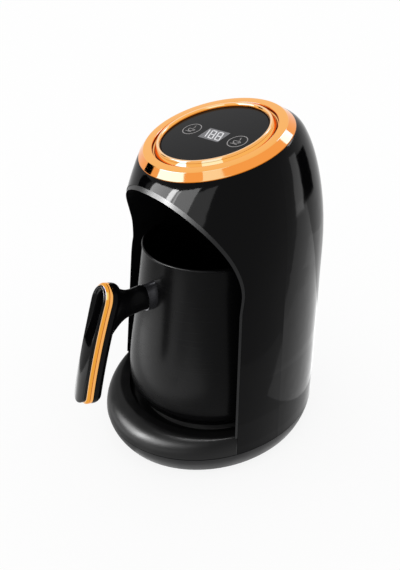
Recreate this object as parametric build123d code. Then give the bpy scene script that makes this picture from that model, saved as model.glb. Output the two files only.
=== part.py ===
from build123d import *
import os
from math import cos, pi, radians, sin, sqrt

# Electric turkish coffee maker: a gloss shell with an arched bay in front, a
# tilted touch panel in a gold ring on top, a flat round base, and a pot with a
# side handle that stands in the bay on a heating plate.
#
# Everything is drawn about the pot's axis (x = y = 0), with the front at -Y and
# all sizes in millimetres; the table lies at TABLE_Z. export() then shifts each
# piece so that the origin is on the table, in the middle of the whole footprint.

# ---------------------------------------------------------------- driving sizes
SHELL_WALL = 2.6
SEAM_Z = 7.9                      # where shell and front ring meet the bottom tray
SEAM_GROOVE = 0.6                 # shadow line between them
TABLE_Z = -7.0                    # where the rubber feet stand
TRAY_TAPER = (                    # share of the tray's height from the groove down, insets of
    (0.0, 0.2, 0.2),              # its sides and of its front
    (0.35, 0.9, 1.1),
    (0.7, 2.3, 3.0),
    (1.0, 4.1, 5.3),
)
SEAM_HALF_WIDTH, SEAM_FRONT_Y, SEAM_REAR_Y = 68.0, -78.3, 77.5
SHOULDER_Z = 123.5                # above this height the shell domes in
SHOULDER_HALF_WIDTH, SHOULDER_FRONT_Y, SHOULDER_REAR_Y = 59.2, -66.0, 82.6
DOME_SIDE, DOME_FRONT, DOME_REAR = (123.5, 1.6), (105.0, 1.3), (123.5, 1.62)  # start z, power

PANEL_TILT = 15.8                 # degrees, leaning towards the front
PANEL_Y, PANEL_Z = 5.1, 193.4     # middle of the glass's top face
GLASS_R, GLASS_THICK = 32.2, 2.0
INNER_RING_TOP_R, INNER_RING_R, INNER_RING_RISE = 34.4, 36.3, 1.9
BEZEL_GROOVE_R, BEZEL_FLANGE_R, BEZEL_R = 37.6, 43.1, 47.0
BEZEL_GROOVE_DEPTH = 1.6
BEZEL_DROP = 3.9                  # from the glass down to the bezel's lower edge
SHELL_MOUTH_R = 44.3              # hole in the top of the shell, under the bezel

ARCH_FOOT_HALF, ARCH_SPRING_HALF = 62.9, 55.6   # half widths at z = 0 and at the spring
ARCH_SPRING_Z, ARCH_TOP_Z, ARCH_POWER = 105.3, 171.0, 2.2
LIP_SIDE, LIP_TOP = 0.85, 2.6     # how far the liner's lip shows inside the arch

WELL_R, WELL_EDGE_Z, WELL_FLOOR_Z = 58.5, 18.3, 11.0
RING_TOP_Z, RING_TOP_R, RING_CREST_R = 20.2, 66.5, 65.2
LINER_WALL = 1.8
PLATE_HOLE_R, PLATE_R, PLATE_TOP_Z = 47.5, 45.9, 12.3

POT_FOOT_Z, POT_CORNER_R, POT_BELLY_R = 12.6, 17.0, 56.8
POT_RIM_R, POT_RIM_Z, POT_WALL = 42.0, 126.1, 1.0

NECK_Z = 105.0                    # height of the stud and screw that carry the handle
GRIP_Y, GRIP_Z, GRIP_LEAN = -92.5, 86.0, 20.0   # middle of the grip, lean in degrees
GRIP_TOP, GRIP_BOTTOM = 41.0, -37.0             # ends, measured along the grip
GRIP_TOP_HALF, GRIP_TOP_LONG, GRIP_BOTTOM_HALF = 8.0, 11.0, 6.6
GRIP_DEPTH, TRIM_REAR, TRIM_FRONT = 12.8, 5.4, 0.9
TRIM_BEVEL, GRIP_REAR_ROUND = 1.4, 5.2
FRONT_CURVE = ((45.0, 0.5), (2.0, 1.0), (-41.0, -2.3))   # along the grip, outward
FACE_INSET, FACE_ROUND = 1.5, 0.7
FACE_STATIONS = (                 # along the grip, rise of the plate's edge, crown of its middle
    (52.0, 0.0, 0.0),
    (34.0, 0.0, 0.1),
    (15.0, 0.15, 0.4),
    (-5.0, 0.6, 0.9),
    (-22.0, 1.1, 1.3),
    (-38.0, 1.3, 1.3),
    (-50.0, 1.3, 1.3),
)
DISH_INSET, DISH_ROUND = 2.6, 1.0
DISH_FLOOR = ((46.0, -1.0), (26.0, -0.77), (0.0, 3.05))  # along the grip, outward
LUG_R, LUG_TOP_Z = 4.0, 24.0
STUD_R, STUD_BORE_R = 3.0, 1.75
HEAD_FACE_Y = -79.0               # where the handle screw's head bears
NECK_STATIONS = (                 # y, lowest and highest z, half width
    (-51.8, 95.9, 112.9, 5.2),
    (-57.0, 96.7, 113.6, 5.2),
    (-62.0, 96.7, 113.8, 5.3),
    (-66.0, 96.4, 115.4, 5.6),
    (-70.0, 95.0, 118.6, 6.1),
    (-74.0, 92.2, 121.6, 6.6),
    (-78.0, 88.5, 123.0, 6.9),
)

SCREW_R = 1.5
CLEAR = 0.15                      # gap round pieces that are pushed together
REAR_SCREW_Y, FRONT_SCREW_Y, SCREW_X = 57.5, -57.0, 32.0
FOOT_R = 6.5
FOOT_PLACES = ((-41, -36), (41, -36), (-41, 38), (41, 38))
GLAND_Z, GLAND_HALF, GLAND_BORE_R = 28.0, 5.0, 3.4
BOARD_Y = 62.0                    # front face of the upright power board
FOAM_Y, FOAM_LENS_R = 6.0, 5.0
KEY_X, BOARD_SCREW_R = 20.3, 27.8
POST_R, BRACKET_ARM_R = 38.0, 51.5
BELOW_SEAM = -0.022               # share of the shell's height, just under the tray's rim

FRONT_TIP_Y = -105.4              # outermost point of the grip
POT_Y = -(FRONT_TIP_Y + SHOULDER_REAR_Y) / 2

OUT = "parts"
os.makedirs(OUT, exist_ok=True)

panel_plane = Plane(
    origin=(0, PANEL_Y, PANEL_Z),
    x_dir=(1, 0, 0),
    z_dir=(0, -sin(radians(PANEL_TILT)), cos(radians(PANEL_TILT))),
)
grip_plane = Plane(
    origin=(0, GRIP_Y, GRIP_Z),
    x_dir=(1, 0, 0),
    z_dir=(0, -cos(radians(GRIP_LEAN)), sin(radians(GRIP_LEAN))),
)
grip_outward = Axis(grip_plane.origin, grip_plane.z_dir)


# ---------------------------------------------------------------- small helpers
def export(name, shape):
    """Shift a finished piece into the part's own frame and write its STEP file."""
    solids = shape.solids()
    body = solids[0] if len(solids) == 1 else Compound(children=list(solids))
    body = body.moved(Location((0, POT_Y, -TABLE_Z)))
    body.label = name
    export_step(body, f"{OUT}/{name}.step")
    print(f"{name}: {len(solids)} solid(s), {body.volume:.0f} mm3")


def tube(radius_out, radius_in, z_low, z_high, x=0.0, y=0.0):
    """Upright ring."""
    ring = Circle(radius_out) - Circle(radius_in)
    return Pos(x, y, z_low) * extrude(ring, z_high - z_low)


def rod(radius, z_low, z_high, x=0.0, y=0.0):
    """Upright cylinder."""
    return Pos(x, y, z_low) * extrude(Circle(radius), z_high - z_low)


def rod_y(radius, y_low, y_high, x=0.0, z=0.0):
    """Cylinder along Y."""
    return Pos(x, y_high, z) * Rot(90, 0, 0) * extrude(Circle(radius), y_high - y_low)


def block(x_low, x_high, y_low, y_high, z_low, z_high):
    """Box between two corners."""
    size = (x_high - x_low, y_high - y_low, z_high - z_low)
    middle = ((x_low + x_high) / 2, (y_low + y_high) / 2, (z_low + z_high) / 2)
    return Pos(*middle) * Box(*size)


def turned(profile):
    """Solid of revolution about Z from (radius, height) corners."""
    return revolve(Plane.XZ * make_face(Polyline(*profile, close=True)), Axis.Z)


def on_panel(shape):
    """Put a piece drawn about +Z onto the tilted panel."""
    return panel_plane.location * shape


def around(count, radius, start=0.0):
    """Points evenly spaced on a circle."""
    turns = [radians(start) + 2 * pi * i / count for i in range(count)]
    return [(radius * cos(t), radius * sin(t)) for t in turns]


# ---------------------------------------------------------------- shell form
def oval(half_width, front, rear, count=16):
    """Closed oval wire; front and rear are (y, z) of its two ends in side view."""
    mid_y, mid_z = (front[0] + rear[0]) / 2, (front[1] + rear[1]) / 2
    half_y, half_z = (rear[0] - front[0]) / 2, (rear[1] - front[1]) / 2
    points = []
    for i in range(count):
        t = 2 * pi * i / count
        points.append(Vector(half_width * cos(t), mid_y + half_y * sin(t), mid_z + half_z * sin(t)))
    return Wire([Edge.make_spline(points, periodic=True)])


def shell_line(z, foot, shoulder):
    """Straight taper of the shell's lower part, carried on above the shoulder."""
    return foot + (shoulder - foot) * (z - SEAM_Z) / (SHOULDER_Z - SEAM_Z)


def shell_curve(z, foot, shoulder, seat, seat_z, start_z, power):
    """Taper that rounds off from start_z so as to reach seat at seat_z."""
    line = shell_line(z, foot, shoulder)
    if z <= start_z:
        return line
    share = min(1.0, (z - start_z) / (seat_z - start_z))
    eased = 1 - (1 - share**power) ** (1 / power)
    return line + (seat - shell_line(seat_z, foot, shoulder)) * eased


def shell_oval(share, inset):
    """Oval of the shell from the seam (0) to the seat of the gold bezel (1)."""
    lean = radians(PANEL_TILT)
    seat_y = PANEL_Y + BEZEL_DROP * sin(lean)
    seat_z = PANEL_Z - BEZEL_DROP * cos(lean)
    reach, rise = BEZEL_R * cos(lean), BEZEL_R * sin(lean)
    z_side = SEAM_Z + (seat_z - SEAM_Z) * share
    z_front = SEAM_Z + (seat_z - rise - SEAM_Z) * share
    z_rear = SEAM_Z + (seat_z + rise - SEAM_Z) * share
    half = shell_curve(z_side, SEAM_HALF_WIDTH, SHOULDER_HALF_WIDTH, BEZEL_R, seat_z, *DOME_SIDE)
    front = shell_curve(
        z_front, SEAM_FRONT_Y, SHOULDER_FRONT_Y, seat_y - reach, seat_z - rise, *DOME_FRONT
    )
    rear = shell_curve(
        z_rear, SEAM_REAR_Y, SHOULDER_REAR_Y, seat_y + reach, seat_z + rise, *DOME_REAR
    )
    sink = inset * max(0.0, (share - 0.5) / 0.5)
    return oval(half - inset, (front + inset, z_front - sink), (rear - inset, z_rear - sink))


def shell_form(inset, foot_share=0.0):
    """Filled form of the shell, pulled in by inset all over."""
    shares = (foot_share, 0.1, 0.2, 0.3, 0.4, 0.5, 0.6, 0.7, 0.78, 0.85, 0.91, 0.955, 0.985, 1.0)
    return Part() + Solid.make_loft([shell_oval(share, inset) for share in shares], ruled=False)


def arch_profile(side, top, z_low):
    """Front view of the arch, pulled in by side at the legs and by top at the crown."""
    def leg(z):
        return ARCH_FOOT_HALF + (ARCH_SPRING_HALF - ARCH_FOOT_HALF) * z / ARCH_SPRING_Z - side
    crown = []
    steps = 20
    for i in range(steps + 1):
        t = pi * i / steps
        reach = abs(cos(t)) ** (2 / ARCH_POWER) * (1 if t < pi / 2 else -1)
        rise = sin(t) ** (2 / ARCH_POWER) if 0 < i < steps else 0.0
        height = ARCH_SPRING_Z + (ARCH_TOP_Z - top - ARCH_SPRING_Z) * rise
        crown.append((leg(ARCH_SPRING_Z) * reach, height))
    low = [(leg(z_low), z_low), (-leg(z_low), z_low)]
    sides = [Line(low[0], crown[0]), Line(crown[-1], low[1]), Line(low[1], low[0])]
    return make_face(sides + [Spline(*crown, tangents=[(-0.06, 1), (-0.06, -1)])])


def arch_prism(side, top, z_low, y_front, y_rear):
    """The arch profile drawn out along Y."""
    return Plane((0, y_rear, 0), x_dir=(1, 0, 0), z_dir=(0, -1, 0)).location * extrude(
        arch_profile(side, top, z_low), y_rear - y_front
    )


# ---------------------------------------------------------------- casing pieces
def outer_casing():
    """Gloss shell: open below, arched open in front, a round mouth on top."""
    casing = shell_form(0) - shell_form(SHELL_WALL, BELOW_SEAM)
    casing -= arch_prism(0, 0, -5, -120, 0)
    casing -= on_panel(rod(SHELL_MOUTH_R, -30, 10))
    return casing - gland_prism(GLAND_HALF, 60, 90)


def shell_lugs():
    """Two screw lugs bonded to the inside of the shell's rear wall."""
    inside = shell_form(SHELL_WALL + 0.03, BELOW_SEAM)
    lugs = Part()
    for x in (-SCREW_X, SCREW_X):
        lug = rod(LUG_R, SEAM_Z, LUG_TOP_Z, x, REAR_SCREW_Y)
        lug += block(x - 1.2, x + 1.2, REAR_SCREW_Y, 90, SEAM_Z, LUG_TOP_Z)
        lug -= rod(SCREW_R + 0.05, SEAM_Z - 1, 21, x, REAR_SCREW_Y)
        lugs += lug & inside
    return lugs


def gland_prism(half, y_low, y_high):
    """Square bar along Y at the height of the cord gland."""
    return block(-half, half, y_low, y_high, GLAND_Z - half, GLAND_Z + half)


def bay_space(grow, z_low):
    """Space that the pot stands in: a round well, open to the front, under the arch."""
    plan = Circle(WELL_R + grow) + Pos(0, -60) * Rectangle(2 * (ARCH_FOOT_HALF + 2), 120)
    column = Pos(0, 0, z_low) * extrude(plan, ARCH_TOP_Z + 5 - z_low)
    return column & arch_prism(LIP_SIDE - grow, LIP_TOP - grow, -5, -130, 80)


def bay_liner():
    """Matte liner of the bay: wall, roof and the lip that shows inside the arch."""
    low = RING_TOP_Z
    liner = bay_space(LINER_WALL, low) & shell_form(SHELL_WALL + 0.3, BELOW_SEAM)
    lip = arch_prism(0.1, CLEAR, low, -130, -12) & shell_form(0.25)
    lip -= shell_form(9.0, BELOW_SEAM)
    liner += lip
    liner -= bay_space(0, low - 2)
    for x in (-20, 20):
        reach = sqrt(WELL_R**2 - x**2)
        for z in (38, 92):
            liner += rod_y(2.6, reach + 1.0, BOARD_Y - 0.05, x, z)
            liner -= rod_y(1.1, reach + 2.5, BOARD_Y + 1, x, z)
    return liner - rod(FOAM_LENS_R + 0.1, 160, 175, 0, FOAM_Y)


def ring_form(inset):
    """Filled form of the front ring: an oval foot that rounds up to a circle."""
    ovals = []
    for i in range(7):
        turn = pi / 2 * i / 6
        share = 1 - cos(turn)
        half = SEAM_HALF_WIDTH + (RING_TOP_R - SEAM_HALF_WIDTH) * share - inset
        front = SEAM_FRONT_Y + (-RING_TOP_R - SEAM_FRONT_Y) * share + inset
        rear = SEAM_REAR_Y + (RING_TOP_R - SEAM_REAR_Y) * share - inset
        z = SEAM_Z + (RING_TOP_Z - inset - SEAM_Z) * sin(turn)
        ovals.append(oval(half, (front, z), (rear, z)))
    return Part() + Solid.make_loft(ovals, ruled=False)


def ring_slope():
    """Cutter above the ring: a cone from the ring's crest down to the well's edge."""
    fall = (RING_TOP_Z - WELL_EDGE_Z) / (RING_CREST_R - WELL_R)
    far_r = 70.0
    return turned(
        [
            (0, 40),
            (far_r, 40),
            (far_r, WELL_EDGE_Z + fall * (far_r - WELL_R)),
            (WELL_R, WELL_EDGE_Z),
            (0, WELL_EDGE_Z),
        ]
    )


def well_cutter():
    """Round well with a rounded bottom corner."""
    corner = 3.5
    inner = WELL_R - corner
    turn = corner * (1 - sqrt(0.5))
    well = make_face(
        [
            Line((0, 40), (WELL_R, 40)),
            Line((WELL_R, 40), (WELL_R, WELL_FLOOR_Z + corner)),
            ThreePointArc(
                (WELL_R, WELL_FLOOR_Z + corner),
                (WELL_R - turn, WELL_FLOOR_Z + turn),
                (inner, WELL_FLOOR_Z),
            ),
            Line((inner, WELL_FLOOR_Z), (0, WELL_FLOOR_Z)),
            Line((0, WELL_FLOOR_Z), (0, 40)),
        ]
    )
    return revolve(Plane.XZ * well, Axis.Z)


def base_platform():
    """Satin ring in front of the pot, the well it stands in and the floor round the plate."""
    ahead = arch_prism(0.12, 0, -5, -120, 0)
    front = (ring_form(0) & ahead) - ring_slope()
    circles = front.edges().filter_by(GeomType.CIRCLE)
    crest = circles.filter_by(lambda edge: abs(edge.radius - RING_CREST_R) < 0.1)
    front = fillet(crest, 5.0)
    behind = shell_form(SHELL_WALL + 0.2, BELOW_SEAM) & block(-90, 90, -90, 90, SEAM_Z, RING_TOP_Z - 0.05)
    behind -= ahead
    hollow = ring_form(2.6) - rod(WELL_R + 2.6, 0, 40)
    hollow &= shell_form(SHELL_WALL + 2.8, BELOW_SEAM)
    platform = front + behind
    platform -= well_cutter()
    platform -= rod(PLATE_HOLE_R, SEAM_Z - 1, 20)
    platform -= hollow
    for x, y in around(3, BRACKET_ARM_R, 90):
        platform += rod(3.2, 6.5, WELL_FLOOR_Z - 1.0, x, y)
        platform -= rod(SCREW_R + 0.05, 6, 9.9, x, y)
    for x in (-SCREW_X, SCREW_X):
        platform += rod(4.0, SEAM_Z, 17.5, x, FRONT_SCREW_Y) & ring_form(1.0)
        platform -= rod(SCREW_R + 0.05, SEAM_Z - 1, 15.5, x, FRONT_SCREW_Y)
        platform -= block(x - 4.3, x + 4.3, REAR_SCREW_Y - 4.3, 90, SEAM_Z - 1, 30)
    return platform


def seam_oval_face(inset, z):
    """Face with the seam's outline, pulled in by inset."""
    return make_face(oval(SEAM_HALF_WIDTH - inset, (SEAM_FRONT_Y + inset, z), (SEAM_REAR_Y - inset, z)))


def tray_form(inset):
    """Filled form of the tray below its groove: it draws in towards the table."""
    high_z, low_z = SEAM_Z - CLEAR - SEAM_GROOVE, TABLE_Z + 0.9
    ovals = []
    for share, side, front in TRAY_TAPER:
        z = high_z + (low_z - high_z) * share
        front_end = (SEAM_FRONT_Y + front + inset, z)
        rear_end = (SEAM_REAR_Y - side - inset, z)
        ovals.append(oval(SEAM_HALF_WIDTH - side - inset, front_end, rear_end))
    return Part() + Solid.make_loft(ovals, ruled=False)


def base_tray():
    """Bottom tray: the undercut skirt below the seam, with the floor that carries the feet."""
    floor_z, top_z = TABLE_Z + 3.2, SEAM_Z - CLEAR
    groove_z = top_z - SEAM_GROOVE
    skirt = tray_form(0)
    skirt = fillet(skirt.edges().group_by(Axis.Z)[0], 1.0)
    skirt += extrude(seam_oval_face(0.2 + SEAM_GROOVE, groove_z), SEAM_GROOVE, dir=(0, 0, 1))
    tray = skirt - (tray_form(2.7) & block(-90, 90, -90, 90, floor_z, 20))
    tray -= extrude(seam_oval_face(2.9, groove_z - 0.5), 3, dir=(0, 0, 1))
    for x in (-SCREW_X, SCREW_X):
        for y in (FRONT_SCREW_Y, REAR_SCREW_Y):
            tray += rod(5.0, floor_z - 0.4, top_z, x, y) & skirt
            tray -= rod(SCREW_R + 0.15, TABLE_Z, 12, x, y)
            tray -= rod(3.1, TABLE_Z, TABLE_Z + 4.6, x, y)
    for x, y in FOOT_PLACES:
        tray -= rod(FOOT_R + 0.1, TABLE_Z, TABLE_Z + 2.3, x, y)
    for i in range(-3, 4):
        for y in (-20, 20):
            tray -= block(9 * i - 1.5, 9 * i + 1.5, y - 9, y + 9, TABLE_Z, TABLE_Z + 6)
    return tray


def rubber_feet():
    """Four soft pads in round recesses of the tray."""
    feet = Part()
    profile = [(0, 0), (FOOT_R - 0.8, 0), (FOOT_R, 0.8), (FOOT_R, 2.25), (0, 2.25)]
    for x, y in FOOT_PLACES:
        feet += Pos(x, y, TABLE_Z) * turned(profile)
    return feet


def base_screws():
    """Four screws that hold tray, platform and shell together."""
    head_z, seat_z = TABLE_Z + 2.9, TABLE_Z + 4.55
    screws = Part()
    for x in (-SCREW_X, SCREW_X):
        for y in (FRONT_SCREW_Y, REAR_SCREW_Y):
            head = rod(2.8, head_z, seat_z, x, y)
            head -= Pos(x, y, head_z) * extrude(Rectangle(3.4, 0.7), 0.9)
            screws += head + rod(SCREW_R, seat_z, 14.5, x, y)
    return screws


def cord_gland():
    """Bush in the back of the shell that a mains lead would pass through."""
    bush = gland_prism(GLAND_HALF - 0.1, 72.0, 80.6)
    bush += rod_y(7.8, 79.0, 80.6, 0, GLAND_Z)
    bush += block(-GLAND_HALF - 1.3, GLAND_HALF + 1.3, 73.2, 74.6, GLAND_Z - 4.0, GLAND_Z + 4.0)
    return bush - rod_y(GLAND_BORE_R, 50, 100, 0, GLAND_Z)


# ---------------------------------------------------------------- panel pieces
def gold_bezel():
    """Outer gold ring: groove floor, flat flange and the bevelled band below it."""
    profile = [
        (INNER_RING_R + 0.05, -BEZEL_GROOVE_DEPTH - 0.4),
        (INNER_RING_R + 0.05, -BEZEL_GROOVE_DEPTH),
        (BEZEL_GROOVE_R, -BEZEL_GROOVE_DEPTH),
        (BEZEL_GROOVE_R + 0.1, 0.25),
        (BEZEL_GROOVE_R + 0.4, 0.4),
        (BEZEL_FLANGE_R - 0.3, 0.4),
        (BEZEL_FLANGE_R, 0.2),
        (BEZEL_R - 0.1, -BEZEL_DROP + 0.5),
        (BEZEL_R, -BEZEL_DROP + 0.1),
        (SHELL_MOUTH_R - 0.15, -BEZEL_DROP + 0.1),
        (SHELL_MOUTH_R - 0.15, -BEZEL_DROP - 2.4),
        (SHELL_MOUTH_R - 1.2, -BEZEL_DROP - 2.4),
        (SHELL_MOUTH_R - 1.2, -2.0),
    ]
    return on_panel(turned(profile))


def gold_inner_ring():
    """Raised gold ring round the glass."""
    rise = INNER_RING_RISE
    profile = [
        (GLASS_R + 0.1, -2.0),
        (GLASS_R + 0.1, rise - 1.5),
        (GLASS_R + 0.7, rise - 0.3),
        (GLASS_R + 1.3, rise),
        (INNER_RING_TOP_R - 0.3, rise),
        (INNER_RING_TOP_R, rise - 0.2),
        (INNER_RING_R - 0.2, -0.7),
        (INNER_RING_R, -1.0),
        (INNER_RING_R, -2.0),
    ]
    return on_panel(turned(profile))


def touch_glass():
    """Round black glass that carries the touch marks and the display window."""
    glass = rod(GLASS_R, -GLASS_THICK, 0)
    return on_panel(chamfer(glass.edges().group_by(Axis.Z)[-1], 0.3))


def panel_frame():
    """Black carrier under the rings; its ledge holds the control board."""
    profile = [
        (25.5, -8.4),
        (31.4, -8.4),
        (31.4, -3.6),
        (SHELL_MOUTH_R - 1.3, -3.6),
        (SHELL_MOUTH_R - 1.3, -2.1),
        (30.0, -2.1),
        (30.0, -6.6),
        (25.5, -6.6),
    ]
    frame = turned(profile)
    for x, y in around(3, BOARD_SCREW_R, 30):
        frame += rod(1.9, -10.2, -7.0, x, y)
        frame -= rod(1.05, -10.5, -6, x, y)
    return on_panel(frame)


def control_board():
    """Round circuit board with its controller and small chips."""
    board = rod(29.7, -6.5, -4.9)
    for x, y in around(3, BOARD_SCREW_R, 30):
        board -= rod(1.15, -7, -4, x, y)
    board += block(-5, 5, 9, 19, -4.9, -3.4)
    for x in (-15, -8, 8, 15):
        board += block(x - 1.5, x + 1.5, -19, -16, -4.9, -3.9)
    return on_panel(board)


def display_module():
    """Three digit display behind the glass."""
    return on_panel(block(-9.5, 9.5, -6.5, 6.5, -4.85, -2.05))


def coil(radius, wire, pitch, height):
    """Open coil spring standing on z = 0."""
    path = Helix(pitch, height, radius)
    start = Plane(path @ 0, z_dir=path % 0)
    return sweep(start * Circle(wire), path)


def touch_springs():
    """Two coil springs that carry the touch signal from board to glass."""
    springs = Part()
    for x in (-KEY_X, KEY_X):
        springs += Pos(x, 0, -4.5) * coil(3.4, 0.3, 0.95, 1.9)
    return on_panel(springs)


def board_screws():
    """Three small screws that hold the board to its carrier."""
    screws = Part()
    for x, y in around(3, BOARD_SCREW_R, 30):
        screws += rod(1.0, -10.0, -4.85, x, y) + rod(1.7, -4.85, -3.8, x, y)
    return on_panel(screws)


def buzzer():
    """Round sounder under the control board."""
    shape = rod(4.6, -11.5, -6.55, 11, -12) - rod(1.0, -12, -10.5, 11, -12)
    return on_panel(shape)


def foam_sensor():
    """Module above the bay's roof that watches the foam rise in the pot."""
    body = block(-9, 9, FOAM_Y - 6.5, FOAM_Y + 6.5, 170.6, 174.6)
    return body + block(-4, 4, FOAM_Y + 2, FOAM_Y + 5, 174.6, 177.0)


def sensor_window():
    """Small clear lens in the bay's roof, below the foam sensor."""
    lens = rod(FOAM_LENS_R, 167.8, 170.5, 0, FOAM_Y)
    return chamfer(lens.edges().group_by(Axis.Z)[0], 0.4)


# ---------------------------------------------------------------- heating pieces
def heating_plate():
    """Aluminium disc that the pot stands on, with three mounting posts below."""
    plate = rod(PLATE_R, 9.3, PLATE_TOP_Z)
    plate -= rod(6.2, 9, 13)
    for x, y in around(3, POST_R, 90):
        plate += rod(3.0, 6.45, 9.3, x, y)
        plate -= rod(SCREW_R + 0.05, 6, 10.2, x, y)
    return plate


def heating_element():
    """Tube element in a horseshoe, fixed to the underside of the plate."""
    section = Plane.XZ * (Pos(28, 6.9) * Circle(2.2))
    horseshoe = revolve(section, Axis.Z, revolution_arc=300)
    horseshoe = Rot(0, 0, 120) * horseshoe
    for turn in (120, 60):
        horseshoe += Rot(0, 0, turn) * Pos(28, 0, 6.9) * Box(1.6, 5.0, 1.2)
    return horseshoe


def plate_seal():
    """Silicone ring that closes the gap round the heating plate."""
    profile = [
        (PLATE_R + 0.05, 9.0),
        (PLATE_HOLE_R - 0.05, 9.0),
        (PLATE_HOLE_R - 0.05, 11.0),
        (PLATE_HOLE_R + 1.6, 11.05),
        (PLATE_HOLE_R + 1.6, 11.7),
        (PLATE_R + 0.6, 12.0),
        (PLATE_R + 0.05, 12.0),
    ]
    return turned(profile)


def plate_bracket():
    """Steel ring below the plate, hung from three bosses of the platform."""
    bracket = tube(POST_R + 3.2, POST_R - 3.2, 5.4, 6.4)
    for turn in (90, 210, 330):
        bracket += Rot(0, 0, turn) * block(POST_R + 2, BRACKET_ARM_R, -4, 4, 5.4, 6.4)
    for x, y in around(3, BRACKET_ARM_R, 90):
        bracket += rod(4.0, 5.4, 6.4, x, y)
    for radius in (POST_R, BRACKET_ARM_R):
        for x, y in around(3, radius, 90):
            bracket -= rod(SCREW_R + 0.1, 5, 7, x, y)
    return bracket


def bracket_screws():
    """Six screws: three into the plate's posts and three into the platform's bosses."""
    screws = Part()
    for radius, depth in ((POST_R, 9.8), (BRACKET_ARM_R, 9.6)):
        for x, y in around(3, radius, 90):
            screws += rod(2.7, 3.9, 5.35, x, y) + rod(SCREW_R, 5.35, depth, x, y)
    return screws


def sensor_guide():
    """Cup under the plate that the temperature probe slides in."""
    guide = tube(6.0, 4.56, 4.4, 11.9) + tube(6.0, 2.25, 4.4, 5.6)
    return guide + tube(8.5, 4.56, 8.35, 9.25)


def sensor_probe():
    """Spring-loaded temperature probe that presses against the pot's bottom."""
    probe = turned([(0, 9.8), (4.5, 9.8), (4.5, 11.9), (4.1, 12.3), (0, 12.3)])
    return probe + rod(2.2, 5.0, 9.8)


def sensor_spring():
    """Coil spring round the probe's stem."""
    return Pos(0, 0, 5.95) * coil(3.2, 0.3, 1.1, 3.5)


def thermal_fuse():
    """Cut-out fuse in its sleeve, clamped beside the element."""
    fuse = Pos(-11, 18, 7.0) * Rot(0, 90, 0) * extrude(Circle(1.9), 22)
    return fuse + Pos(-15, 18, 7.0) * Rot(0, 90, 0) * extrude(Circle(0.5), 30)


# ---------------------------------------------------------------- rear electrics
def power_board():
    """Upright power board in the gap behind the bay."""
    board = block(-25, 25, BOARD_Y, BOARD_Y + 1.6, 32, 98)
    for x in (-20, 20):
        for z in (38, 92):
            board -= rod_y(1.15, BOARD_Y - 1, BOARD_Y + 3, x, z)
    return board


def relay():
    """Slim relay that switches the heating element."""
    face = BOARD_Y + 1.65
    return fillet(block(-17, 2, face, face + 8.5, 62, 77).edges().filter_by(Axis.Y), 0.6)


def supply_transformer():
    """Small transformer of the low voltage supply."""
    face = BOARD_Y + 1.65
    core = block(-18, 0, face + 1.5, face + 7.5, 38, 56)
    winding = block(-14, -4, face, face + 9.0, 41, 53)
    return core + winding


def smoothing_capacitor():
    """Lying round capacitor."""
    face = BOARD_Y + 1.65
    return Pos(10, face + 4.1, 40) * extrude(Circle(4.0), 18)


def terminal_block():
    """Three way clamp for the mains wires."""
    face = BOARD_Y + 1.65
    terminal = block(4, 19, face, face + 7, 66, 76)
    for x in (6.5, 11.5, 16.5):
        terminal -= rod(1.5, 60, 72, x, face + 3.5)
    return terminal


def board_fixings():
    """Four screws that hold the power board to the liner's posts."""
    screws = Part()
    for x in (-20, 20):
        for z in (38, 92):
            screws += rod_y(1.0, BOARD_Y - 4, BOARD_Y + 1.65, x, z)
            screws += rod_y(2.0, BOARD_Y + 1.65, BOARD_Y + 3.0, x, z)
    return screws


# ---------------------------------------------------------------- pot pieces
def pot_outline(inset):
    """Half section of the pot's form, pulled in by inset, as edges from foot to rim."""
    foot, corner = POT_FOOT_Z + inset, POT_CORNER_R - inset
    belly = POT_BELLY_R - inset
    centre_r, centre_z = POT_BELLY_R - POT_CORNER_R, POT_FOOT_Z + POT_CORNER_R
    half = sqrt(0.5)
    edges = [Line((0, foot), (centre_r, foot))]
    mid = (centre_r + corner * half, centre_z - corner * half)
    edges.append(ThreePointArc((centre_r, foot), mid, (belly, centre_z)))
    neck = (50.5 - inset, 75.0)
    rim = (POT_RIM_R - inset, POT_RIM_Z)
    edges.append(Spline((belly, centre_z), (54.0 - inset, 56.0), neck, rim, tangents=[(0, 1), (-0.166, 1)]))
    return edges, rim


def pot_solid(inset):
    """Filled form of the pot."""
    edges, rim = pot_outline(inset)
    foot = POT_FOOT_Z + inset
    edges += [Line(rim, (0, POT_RIM_Z)), Line((0, POT_RIM_Z), (0, foot))]
    return revolve(Plane.XZ * make_face(edges), Axis.Z)


def pot_body():
    """Thin metal vessel with a rolled rim."""
    vessel = pot_solid(0) - pot_solid(POT_WALL)
    bead = revolve(Plane.XZ * (Pos(POT_RIM_R - 0.35, POT_RIM_Z) * Circle(0.95)), Axis.Z)
    return vessel + bead


def neck_oval(y, z_mid, half_height, half_width, count=20):
    """Upright oval across the neck."""
    points = []
    for i in range(count):
        t = 2 * pi * i / count
        points.append(Vector(half_width * cos(t), y, z_mid + half_height * sin(t)))
    return Wire([Edge.make_spline(points, periodic=True)])


def pot_collar():
    """Flared satin collar between the pot's wall and the handle's neck."""
    wires = [
        neck_oval(-40.0, 103.0, 10.3, 5.9),
        neck_oval(-44.0, 103.2, 9.9, 5.75),
        neck_oval(-48.0, 103.7, 9.3, 5.5),
        neck_oval(-51.6, 104.2, 8.9, 5.4),
    ]
    collar = Part() + Solid.make_loft(wires, ruled=False)
    collar -= pot_solid(-0.05)
    return collar - rod_y(STUD_R + 0.1, -60, -30, 0, NECK_Z)


def weld_stud():
    """Threaded stud on the pot's wall, inside the collar."""
    stud = rod_y(STUD_R, -58.0, -40.0, 0, NECK_Z) - pot_solid(-0.02)
    return stud - rod_y(STUD_BORE_R, -59, -48.5, 0, NECK_Z)


def grip_front(back_off):
    """Curve of the grip's front in side view (along the grip, outward), set back."""
    return [(v, n - back_off) for v, n in FRONT_CURVE]


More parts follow.
